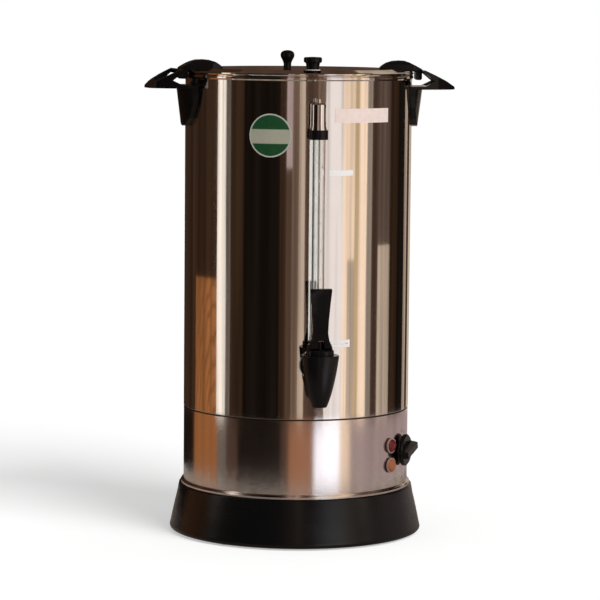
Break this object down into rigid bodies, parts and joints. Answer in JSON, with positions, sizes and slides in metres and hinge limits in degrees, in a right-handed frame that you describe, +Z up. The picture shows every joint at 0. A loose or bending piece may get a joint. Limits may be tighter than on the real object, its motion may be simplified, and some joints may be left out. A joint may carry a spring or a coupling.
{
  "type": "hot water urn",
  "caption": "Tall cylindrical hot water urn with a polished steel tank, satin lower housing, flared black base, front tap with sight gauge, side handles and a lift-off lid.",
  "frame": {"origin": "on the table, under the middle of the overall size, 20.95 mm from the tank axis towards the tap", "axes": "+Z up, tap and sight gauge towards -Y, handles near +X and -X, mains inlet towards +Y"},
  "size_m": [0.3162, 0.2992, 0.4893],
  "materials": {
    "polished_steel": "mirror-polished stainless steel",
    "satin_steel": "satin stainless steel",
    "black_gloss": "glossy black phenolic",
    "tap_black": "black nylon, semi-gloss",
    "rubber_black": "matt rubber",
    "silicone": "translucent silicone",
    "galvanised": "zinc-plated sheet",
    "screw_steel": "plated fasteners",
    "heat_aluminium": "cast, as made",
    "element_sheath": "dark oxidised sheath",
    "dark_plastic": "matt",
    "white_plastic": "matt",
    "lamp_bezel": "gloss",
    "lens_red": "translucent red",
    "lens_amber": "translucent amber",
    "clear_glass": "clear borosilicate",
    "chrome_trim": "chrome plated",
    "badge_print": "printed film",
    "strip_film": "plain film"
  },
  "bodies": {
    "urn": {"tank": "polished_steel", "lower_housing": "satin_steel", "base_skirt": "black_gloss", "left_handle": "black_gloss", "right_handle": "black_gloss", "tap_body": "tap_black", "tap_bonnet": "tap_black", "gauge_nut": "tap_black", "gauge_holder": "tap_black", "tap_locknut": "tap_black", "base_feet": "rubber_black", "tap_outer_seal": "silicone", "tap_inner_seal": "silicone", "gauge_seal": "silicone", "handle_washers": "silicone", "base_plate": "galvanised", "heater_clamp": "galvanised", "base_screws": "screw_steel", "housing_screws": "screw_steel", "heater_stud": "screw_steel", "thermostat_nut": "screw_steel", "inlet_screws": "screw_steel", "holder_screw": "screw_steel", "handle_bolts": "screw_steel", "tap_spring": "screw_steel", "heat_plate": "heat_aluminium", "heating_element": "element_sheath", "thermal_cutout": "dark_plastic", "inlet_socket": "dark_plastic", "terminal_block": "white_plastic", "thermostat_body": "white_plastic", "lamp_bodies": "lamp_bezel", "red_lens": "lens_red", "amber_lens": "lens_amber", "gauge_tube": "clear_glass", "gauge_cap": "chrome_trim", "badge": "badge_print", "blank_strip": "strip_film"},
    "lid": {"lid_pan": "polished_steel", "left_lug": "black_gloss", "right_lug": "black_gloss", "lug_screws": "screw_steel", "lid_knob": "black_gloss", "lid_knob_screw": "screw_steel"},
    "filler": {"filler_cap": "black_gloss", "filler_seal": "silicone"},
    "valve": {"tap_stem": "screw_steel", "seat_cup": "silicone"},
    "lever": {"tap_lever": "tap_black", "lever_pin": "screw_steel"},
    "thermostat": {"thermostat_knob": "black_gloss", "thermostat_shaft": "screw_steel"}
  },
  "joints": [
    {"name": "lid_lift", "type": "slide", "parent": "urn", "child": "lid", "axis": [0, 0, 1], "range_m": [0, 0.15]},
    {"name": "filler_lift", "type": "slide", "parent": "lid", "child": "filler", "axis": [0, 0, 1], "range_m": [0, 0.03]},
    {"name": "valve_lift", "type": "slide", "parent": "urn", "child": "valve", "axis": [0, 0, 1], "range_m": [0, 0.004], "deforming": ["tap_spring"]},
    {"name": "lever_tilt", "type": "hinge", "parent": "valve", "child": "lever", "pos_m": [0, -0.13105, 0.2082], "axis": [1, 0, 0], "range_deg": [0, 55], "stiffness_Nm_per_rad": 0.3, "springref_deg": -14.32},
    {"name": "thermostat_turn", "type": "hinge", "parent": "urn", "child": "thermostat", "pos_m": [0.09989, -0.03603, 0.0887], "axis": [0.8686, -0.4955, 0], "range_deg": [-270, 0]}
  ],
  "couplings": [
    {"joint": "valve_lift", "follows": "lever_tilt", "m_per_rad": 0.00416}
  ]
}
